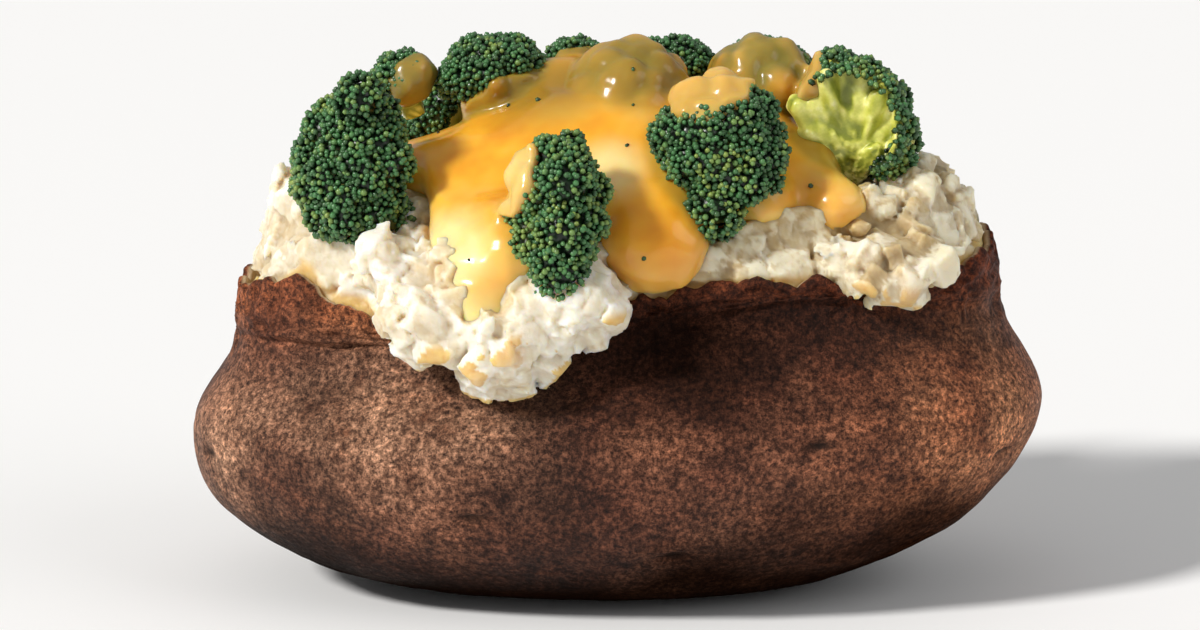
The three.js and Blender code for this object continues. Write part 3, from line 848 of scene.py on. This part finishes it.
def make_floret(name, seed):
    """Makes one floret's stem and buds. Returns the buds' places and half widths."""
    at, facing, radius, tall = FLORETS[name]
    rng = np.random.default_rng(seed)
    middle, size, around = floret_clusters(rng, radius, tall)
    turn = basis(facing)
    form = np.array([1, tall, CROWN_HEIGHT])
    for offset, wide in HEADS.get(name, ()):
        spot = turn @ np.array(offset, float)
        middle, size = np.vstack([middle, spot]), np.append(size, wide)
        around = np.vstack([around, unit(spot)])
    places, ways, depth = bud_places(rng, middle, size, around, form * 0.72 * radius)
    sliced = name == "floret_sliced"
    stem = stem_field(middle, size, radius, tall, SLICED_PITCH if sliced else STEM_PITCH)
    if sliced:
        stays = open_fan(stem, turn, radius)(places @ turn)
        places, ways, depth = places[stays], ways[stays], depth[stays]
    points, quads = stem.surface()
    # painted shade: the stem is coloured near-black where it lies in the crown under the buds, so the gaps
    # between buds read dark
    crown = smooth(np.linalg.norm(points / form, axis=-1) / radius, 0.6, 0.85)
    crown = crown * smooth(points[:, 2], -0.6 * radius, -0.1 * radius)
    if sliced:
        crown = crown * smooth((points @ turn)[:, 1], -0.05 * radius, 0.2 * radius)
    root = turn @ (np.array(FAN_ROOT) * radius) if sliced else np.array([0, 0, -1.05 * radius])
    attributes = {"crown": crown, "streak": streaks(points, root, radius)}
    body = make_mesh(name + "_stem", points @ turn + np.array(at), quads, attributes, STEM_LOOK)
    places, ways = places @ turn + np.array(at), ways @ turn
    # painted shade: buds turned inwards or set between the small heads get darker tones, those turned
    # outwards lighter
    tones = 0.42 + PALER.get(name, 0) + 0.28 * (depth - 0.4) + rng.normal(scale=0.23, size=len(places))
    tones = np.clip(tones, 0, 0.85)
    yellowed = (noise_at(places, 5, 55) > 0.42) & (rng.random(len(places)) < 0.45)
    tones = np.where(yellowed, 0.8 + 0.2 * rng.random(len(places)), tones)
    sizes = rng.uniform(0.38, 0.62, len(places))
    buds = make_buds(name + "_buds", places, ways, tones, sizes)
    stand_for(body, "broccoli", name)
    stand_for(buds, "broccoli", name)
    return places, sizes


# ---- the sauce ----
# The bed of sauce over the top of the heap, and a saddle of it that fills the gap between two florets.
SAUCE_BED = [((3, 0, 51.5), (38.5, 27, 29.5)), ((-8, 7, 76), (12, 8, 8))]

SAUCE_EDGE = [(0.8, 6, 62), (0.5, 2.6, 65)]  # layers of noise in its edge: depth, wave and seed
OPEN_TOP = 79  # the height above which all of the sauce is kept

# Where the sauce is a thin skin over white flesh, and so paler: middle and half width.
THIN = [((-27, -30, 60), 12), ((-20, -34, 50), 9), ((-17, -32, 73), 8), ((-1, -22, 72), 8), ((26, -8, 80), 6)]

# Where painted shade darkens the sauce, over the top of the heap: middle and half width.
SAUCE_SHADE_PLACES = [((-9, -3, 79), 16), ((-17, 5, 74), 13), ((3, -6, 84), 12)]

# Coats on florets: the floret, where the coat's middle is from the crown's, its half width, its thickness and
# how much of the green shows through it.
COATS = [
    ("floret_top_middle", (0, -1, 0), 12.0, 0.65, 0.7),
    ("floret_back_dome", (-1.5, -3, -1.5), 9.6, 0.5, 1.0),
    ("floret_small_left", (3.2, -2.5, -1.5), 5.2, 0.4, 0.9),
    ("floret_right", (-2, 1, 8.5), 7.2, 0.4, 0.4),
    ("floret_front", (-8.5, 0, 6), 6.3, 0.35, 0.25),
    ("floret_top_left", (3, -5, -7), 8.5, 0.6, 0.7),
    ("floret_small_top", (1, -2, -1), 4.2, 0.4, 0.8),
    ("floret_sliced", (-8, 2, 6), 5.0, 0.4, 0.5),
]


def sauce_bed():
    """The sauce on the flesh, before the coats."""
    field = Field((-46, -44, 46), (46, 40, 93), SAUCE_PITCH)
    field.add_balls([MOUND, *LUMPS, *SPILLS], 0.6, 7.0)
    field.add_balls(SAUCE_BED, 0, 4.0)
    reach = sauce_reach(field.points())
    near, place = field.near(5)
    slow, edge = np.zeros_like(reach), np.zeros_like(reach)
    slow[near] = noise_at(place, 9, 61)
    edge[near] = layered(place, SAUCE_EDGE)
    depth = 2.2 * smooth(-reach, -0.5, 3.0) + 0.9 * slow
    field.values[:] = soft_max(field.values - depth, reach + edge, 3.0)
    return field


def make_sauce(buds):
    """Makes the sauce. Returns its points, and how far each is from the nearest coated crown."""
    field = sauce_bed()
    for name, offset, radius, thick, _ in COATS:
        add_coat(field, name, np.array(offset, float), radius, thick, *buds[name])
    near, place = field.near(2)
    field.values[near] += (0.15 * noise_at(place, 4, 63)).astype(np.float32)
    points, faces = field.surface()
    shown = (heap_field(COARSE_PITCH, -3.5).at(points) > 0) | (points[:, 2] > OPEN_TOP)
    over, green = np.full(len(points), np.inf), np.zeros(len(points))
    for name, _, _, _, share in COATS:
        at, facing, radius, tall = FLORETS[name]
        local = (points - np.array(at)) @ basis(facing).T
        above = ball_distance(*local.T, np.array([1, tall, 0.85]) * radius)
        over = np.minimum(over, above)
        green = np.maximum(green, share * (1 - smooth(above, 0.4, 2.8)))
    thin = np.clip(near_any(points, THIN) + 0.4 * (1 - smooth(-sauce_reach(points), -1, 2.5)), 0, 1)
    # painted shade: the sauce is darkened near the places listed for it
    attributes = {"over_green": green, "thin": thin, "deep": near_any(points, SAUCE_SHADE_PLACES), "over": over}
    points, faces, attributes = kept(points, faces, shown, attributes)
    over = attributes.pop("over")
    piece = make_mesh("cheese_drape", points, faces, attributes, sauce_material())
    stand_for(piece, "sauce", "cheese_sauce")
    return points, over


def near_any(points, places):
    """How near points are to any of some places, from 0 at its half width to 1 at its middle."""
    away = [np.linalg.norm(points - np.array(spot), axis=1) / wide for spot, wide in places]
    return 1 - smooth(np.min(away, axis=0), 0.25, 1.0)


def add_coat(field, name, offset, radius, thick, places, sizes):
    """A coat of sauce over the part of a crown near a point, with the buds showing through as bumps."""
    at, facing, wide, tall = FLORETS[name]
    at = np.array(at, float)
    spans, axes = field.window(at - 1.7 * wide - 2, at + 1.7 * wide + 2)
    x, y, z = np.broadcast_arrays(*axes)
    here = np.stack([x - at[0], y - at[1], z - at[2]], axis=-1) @ basis(facing).T
    form = np.array([0.93, 0.93 * tall, 0.74]) * wide
    crown = field.holding(ball_distance(*np.moveaxis(here, -1, 0), form), [axis.min() for axis in axes])
    for spot, size in zip(places, sizes):
        near, (bx, by, bz) = crown.window(spot - size - 1.3, spot + size + 1.3)
        bud = np.sqrt((bx - spot[0]) ** 2 + (by - spot[1]) ** 2 + (bz - spot[2]) ** 2) - size
        crown.values[near] = soft_min(crown.values[near], bud, 0.9)
    middle = at + offset
    cover = np.sqrt((x - middle[0]) ** 2 + (y - middle[1]) ** 2 + (z - middle[2]) ** 2) - radius
    cover = cover + 1.5 * noise_at(np.stack([x, y, z], axis=-1), 3.2, 64)
    coat = soft_max(crown.values - thick, cover, 1.0)
    field.values[spans] = soft_min(field.values[spans], coat, 2.2)


# ---- loose bits ----
SPECKS_NEAR = 14  # beside florets
SPECKS_FAR = 3  # anywhere on the sauce


def make_specks(spots, over):
    """Buds that have come off and lie on the sauce, most of them near a floret."""
    rng = np.random.default_rng(81)
    near = np.flatnonzero((over > 0.5) & (over < 7) & (spots[:, 2] > 58))
    beside = rng.choice(near, SPECKS_NEAR, replace=False)
    all_over = rng.choice(len(spots), SPECKS_FAR, replace=False)
    places = spots[np.concatenate([beside, all_over])]
    ways = unit(rng.normal(size=places.shape))
    tones = rng.uniform(0.05, 0.6, len(places))
    piece = make_buds("loose_buds", places, ways, tones, rng.uniform(0.25, 0.55, len(places)))
    stand_for(piece, "broccoli")


# ---- materials ----
def new_look(name):
    look = bpy.data.materials.new(name)
    look.use_nodes = True
    tree = look.node_tree
    return look, tree, tree.nodes["Principled BSDF"]


def wire(tree, socket, value):
    """Links a node's output, or the mesh attribute that a string names, or sets a plain value or colour."""
    if isinstance(value, str):
        value = node(tree, "ShaderNodeAttribute", {"attribute_name": value}).outputs["Fac"]
    if isinstance(value, bpy.types.NodeSocket):
        tree.links.new(value, socket)
    elif socket.type == "RGBA":
        socket.default_value = (*value, 1)
    else:
        socket.default_value = value


def node(tree, kind, settings=None, **inputs):
    made = tree.nodes.new(kind)
    for key, value in (settings or {}).items():
        setattr(made, key, value)
    for key, value in inputs.items():
        wire(tree, made.inputs[key], value)
    return made


def texture(tree, scale, detail, roughness=0.6, stretch=None):
    place = node(tree, "ShaderNodeTexCoord").outputs["Object"]
    if stretch:
        place = node(tree, "ShaderNodeMapping", Vector=place, Scale=stretch).outputs[0]
    made = node(tree, "ShaderNodeTexNoise", Vector=place, Scale=scale, Detail=detail, Roughness=roughness)
    return made.outputs["Fac"]


def steps(tree, value, *stops):
    """A value turned into a colour through stops of (position, red, green, blue)."""
    ramp = node(tree, "ShaderNodeValToRGB", Fac=value)
    elements = ramp.color_ramp.elements
    while len(elements) < len(stops):
        elements.new(0.5)
    for element, (position, *colour) in zip(elements, stops):
        element.position = position
        element.color = (*colour, 1)
    return ramp.outputs["Color"]


def span(tree, value, low, high):
    made = node(tree, "ShaderNodeMapRange", {"clamp": True}, Value=value)
    made.inputs["From Min"].default_value = low
    made.inputs["From Max"].default_value = high
    return made.outputs["Result"]


def mixed(tree, share, first, second, kind="MIX"):
    made = node(tree, "ShaderNodeMix", {"data_type": "RGBA", "blend_type": kind})
    for socket, value in ((made.inputs[0], share), (made.inputs[6], first), (made.inputs[7], second)):
        wire(tree, socket, value)
    return made.outputs[2]


def tinted(tree, share, colour, tint):
    return mixed(tree, share, colour, tint, "MULTIPLY")


def times(tree, first, second):
    made = node(tree, "ShaderNodeMath", {"operation": "MULTIPLY"})
    for socket, value in zip(made.inputs, (first, second)):
        wire(tree, socket, value)
    return made.outputs[0]


def bump(tree, shader, layers):
    """Bumps in layers of (height, depth in millimetres)."""
    normal = None
    for height, depth in layers:
        made = node(tree, "ShaderNodeBump", Height=height, Strength=1.0, Distance=depth * MM)
        if normal:
            tree.links.new(normal, made.inputs["Normal"])
        normal = made.outputs["Normal"]
    tree.links.new(normal, shader.inputs["Normal"])


def finish_shader(shader, colour, **plain):
    """Links the colour, and sets plain values on sockets whose names are given with _ for a space."""
    shader.id_data.links.new(colour, shader.inputs["Base Color"])
    for key, value in plain.items():
        shader.inputs[key.replace("_", " ")].default_value = value


def skin_material():
    look, tree, shader = new_look("baked_skin")
    slow = texture(tree, 26, 3)
    middle = texture(tree, 130, 8, 0.78)
    fine = texture(tree, 1050, 6, 0.85)
    streak = texture(tree, 210, 4, 0.7, (0.35, 1.0, 1.6))
    specks = texture(tree, 1900, 3, 0.6)
    wrinkle = texture(tree, 150, 3, 0.6, (0.4, 0.4, 1.8))
    base = steps(
        tree, slow, (0.38, 0.054, 0.017, 0.008), (0.5, 0.128, 0.044, 0.023), (0.64, 0.25, 0.102, 0.055)
    )
    patch = steps(tree, middle, (0.36, 0.3, 0.26, 0.25), (0.5, 1.0, 1.0, 1.0), (0.66, 1.6, 1.65, 1.7))
    colour = tinted(tree, 0.9, base, patch)
    tan = mixed(tree, span(tree, middle, 0.35, 0.65), (0.19, 0.078, 0.040), (0.76, 0.45, 0.28))
    tan = mixed(tree, 0.85, colour, tan)
    colour = mixed(tree, "tan", colour, tan)
    net = steps(tree, fine, (0.41, 0.13, 0.09, 0.08), (0.51, 0.82, 0.77, 0.74), (0.61, 2.1, 2.05, 2.0))
    colour = tinted(tree, 0.9, colour, net)
    pale = steps(tree, streak, (0.42, 0.8, 0.8, 0.8), (0.55, 1.0, 1.0, 1.0), (0.68, 1.6, 1.55, 1.5))
    colour = tinted(tree, 0.7, colour, pale)
    colour = mixed(tree, "warm", colour, tinted(tree, 1.0, colour, (1.45, 1.2, 0.95)))
    dark = steps(tree, specks, (0.36, 0.15, 0.12, 0.12), (0.43, 1.0, 1.0, 1.0))
    colour = tinted(tree, 0.8, colour, dark)
    reddish = tinted(tree, 1.0, colour, (1.5, 1.15, 0.8))
    colour = mixed(tree, "collar", colour, reddish)
    colour = mixed(tree, span(tree, "eye", 0.3, 0.9), colour, (0.02, 0.009, 0.005))
    # painted shade: the skin is taken almost to black underneath, low at the right and in the shadow under
    # the rim
    colour = mixed(tree, "painted_shade", colour, mixed(tree, 0.95, colour, (0.006, 0.003, 0.002)))
    flesh = steps(tree, middle, (0.35, 0.35, 0.2, 0.09), (0.6, 0.7, 0.55, 0.34))
    colour = mixed(tree, span(tree, "lining", 0.3, 0.7), colour, flesh)
    tree.links.new(span(tree, fine, 1.3, -0.1), shader.inputs["Roughness"])
    shine = times(tree, span(tree, "painted_shade", 1.0, 0.0), 0.2)
    tree.links.new(shine, shader.inputs["Specular IOR Level"])
    finish_shader(shader, colour)
    bump(tree, shader, [(wrinkle, 0.5), (middle, 0.5), (fine, 0.34), (specks, 0.16)])
    return look


def flesh_material():
    look, tree, shader = new_look("fluffed_flesh")
    fine = texture(tree, 900, 3)
    slow = texture(tree, 90, 3)
    floury = steps(tree, "whiteness_and_shade", (0.15, 0.62, 0.48, 0.29), (0.5, 0.75, 0.66, 0.49), (0.9, 0.89, 0.85, 0.75))
    # the darker waxy colour is partly real translucent flesh and partly painted shade towards the right
    waxy_and_shade = steps(tree, "whiteness_and_shade", (0.15, 0.36, 0.24, 0.10), (0.5, 0.52, 0.40, 0.22), (0.9, 0.80, 0.73, 0.55))
    colour = mixed(tree, "waxy_and_shade", floury, waxy_and_shade)
    amber = mixed(tree, span(tree, slow, 0.3, 0.7), (0.62, 0.34, 0.07), (0.84, 0.64, 0.29))
    colour = mixed(tree, times(tree, "soaked", span(tree, slow, 0.1, 0.5)), colour, amber)
    finish_shader(shader, colour, Roughness=0.45, Specular_IOR_Level=0.35, Subsurface_Weight=1.0,
                  Subsurface_Radius=(1.0, 0.8, 0.5), Subsurface_Scale=3.2 * MM)
    bump(tree, shader, [(fine, 0.2)])
    return look


def sauce_material():
    look, tree, shader = new_look("melted_cheese")
    slow = texture(tree, 60, 3)
    thick = steps(tree, slow, (0.35, 0.76, 0.30, 0.014), (0.52, 0.90, 0.43, 0.028), (0.7, 0.94, 0.56, 0.09))
    pale = steps(tree, slow, (0.35, 0.92, 0.62, 0.18), (0.65, 0.95, 0.76, 0.36))
    colour = mixed(tree, "thin", thick, pale)
    # painted shade: darker sauce over the top of the heap
    colour = mixed(tree, "deep", colour, (0.36, 0.20, 0.022))
    green = steps(tree, slow, (0.36, 0.14, 0.135, 0.020), (0.62, 0.31, 0.23, 0.040))
    colour = mixed(tree, "over_green", colour, green)
    finish_shader(shader, colour, Roughness=0.2, Specular_IOR_Level=0.45, Subsurface_Weight=0.7,
                  Subsurface_Radius=(1.0, 0.45, 0.12), Subsurface_Scale=3.0 * MM)
    bump(tree, shader, [(texture(tree, 160, 3), 0.12)])
    return look


def bud_material():
    look, tree, shader = new_look("broccoli_buds")
    colour = steps(
        tree, "tone", (0.1, 0.001, 0.012, 0.005), (0.4, 0.004, 0.050, 0.017),
        (0.72, 0.036, 0.18, 0.055), (1.0, 0.34, 0.38, 0.05),
    )
    # painted shade at each bud's base and a painted highlight towards its tip
    tip = span(tree, "tip", -0.5, 1.0)
    shade = mixed(tree, 0.9, colour, (0.002, 0.009, 0.004))
    light = mixed(tree, 0.3, colour, (0.20, 0.42, 0.15))
    finish_shader(shader, mixed(tree, tip, shade, light), Roughness=0.22, Specular_IOR_Level=0.42)
    bump(tree, shader, [(texture(tree, 2200, 2), 0.05)])
    return look


def stem_material():
    look, tree, shader = new_look("broccoli_stem")
    fine = texture(tree, 260, 4, 0.6)
    pale = steps(tree, fine, (0.35, 0.42, 0.45, 0.05), (0.55, 0.63, 0.64, 0.11), (0.72, 0.80, 0.80, 0.30))
    # painted highlight and shade: whitish streaks along the stems' ridges and dark lines between them
    streak = span(tree, "streak", -0.7, 0.7)
    streak = steps(tree, streak, (0.2, 0.35, 0.42, 0.25), (0.5, 1.0, 1.0, 1.0), (0.85, 1.5, 1.45, 2.6))
    pale = tinted(tree, 0.8, pale, streak)
    # painted shade: the stem's near-black colour inside the crown
    deep = steps(tree, fine, (0.4, 0.003, 0.014, 0.004), (0.65, 0.012, 0.035, 0.008))
    colour = mixed(tree, "crown", pale, deep)
    finish_shader(shader, colour, Roughness=0.32, Subsurface_Weight=0.25,
                  Subsurface_Radius=(0.7, 1.0, 0.3), Subsurface_Scale=1.2 * MM)
    bump(tree, shader, [(fine, 0.25)])
    return look


# ---- the stage ----
FLOOR = 3.0  # half its width, in metres
CAMERA_ELEVATION = math.radians(12)
CAMERA_DISTANCE = 0.5475
CAMERA_AIM = (-2.5, 0, 44.2)


def make_floor():
    mesh = bpy.data.meshes.new("floor")
    corners = [(-FLOOR, -FLOOR, 0), (FLOOR, -FLOOR, 0), (FLOOR, FLOOR, 0), (-FLOOR, FLOOR, 0)]
    mesh.from_pydata(corners, [], [(0, 1, 2, 3)])
    look, _, shader = new_look("pale_floor")
    shader.inputs["Base Color"].default_value = (0.97, 0.97, 0.97, 1)
    shader.inputs["Roughness"].default_value = 0.7
    mesh.materials.append(look)
    add_object("floor", mesh)


def add_sun(name, towards, power, softness, colour=(1, 1, 1)):
    """Even light from one direction, softened over an angle in degrees."""
    light = bpy.data.lights.new(name, "SUN")
    light.energy = power
    light.angle = math.radians(softness)
    light.color = colour
    add_object(name, light).rotation_euler = Vector(towards).to_track_quat("Z", "Y").to_euler()


def make_stage():
    make_floor()
    world = bpy.data.worlds.new("studio")
    bpy.context.scene.world = world
    world.use_nodes = True
    background = world.node_tree.nodes["Background"]
    background.inputs["Color"].default_value = (1, 1, 1, 1)
    background.inputs["Strength"].default_value = 0.34
    add_sun("key", (-0.72, -0.45, 0.62), 3.2, 9, (1.0, 0.98, 0.95))
    add_sun("fill", (0.75, -0.35, 0.6), 0.5, 40)
    bpy.context.scene.view_settings.view_transform = "Standard"


def make_camera():
    camera = bpy.data.cameras.new("camera")
    camera.lens = 100
    camera.sensor_width = 36
    holder = add_object("camera", camera)
    aim = Vector((np.array(CAMERA_AIM) + SHIFT) * MM)
    back = Vector((0, -math.cos(CAMERA_ELEVATION), math.sin(CAMERA_ELEVATION)))
    holder.location = aim + back * CAMERA_DISTANCE
    holder.rotation_euler = (-back).to_track_quat("-Z", "Y").to_euler()
    bpy.context.scene.camera = holder


def solid_model_shift():
    """From the solid model's own layout to the frame, in millimetres: the jacket's box against its form's."""
    turn, part = np.meshgrid(np.arange(40) * math.pi / 20, np.arange(1, 7) / 6 * math.pi / 2)
    reach = FOOT + (HALF_WIDTH - FOOT) * np.sin(part) ** (2 / BODY_POWER)
    plain = potato_form(reach, turn, BELLY_HEIGHT * (1 - np.cos(part) ** (2 / BODY_POWER))).reshape(-1, 3)
    low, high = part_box("jacket")
    shift = (np.array(low) + np.array(high)) / 2 / MM - (plain.min(axis=0) + plain.max(axis=0)) / 2
    return np.array([shift[0], shift[1], 0])


# ---- assembly ----
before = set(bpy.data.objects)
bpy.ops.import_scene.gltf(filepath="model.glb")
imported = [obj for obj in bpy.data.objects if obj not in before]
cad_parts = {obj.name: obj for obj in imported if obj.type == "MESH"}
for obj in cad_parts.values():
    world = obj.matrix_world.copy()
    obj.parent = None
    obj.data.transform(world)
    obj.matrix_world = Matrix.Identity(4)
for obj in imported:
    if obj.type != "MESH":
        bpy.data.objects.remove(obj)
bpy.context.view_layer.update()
SHIFT = solid_model_shift()
BALL = bud_ball()
STEM_LOOK = stem_material()
BUD_LOOK = bud_material()

make_camera()
make_stage()
make_jacket()
make_flesh()
buds = {name: make_floret(name, seed) for seed, name in enumerate(FLORETS, 100)}
make_specks(*make_sauce(buds))
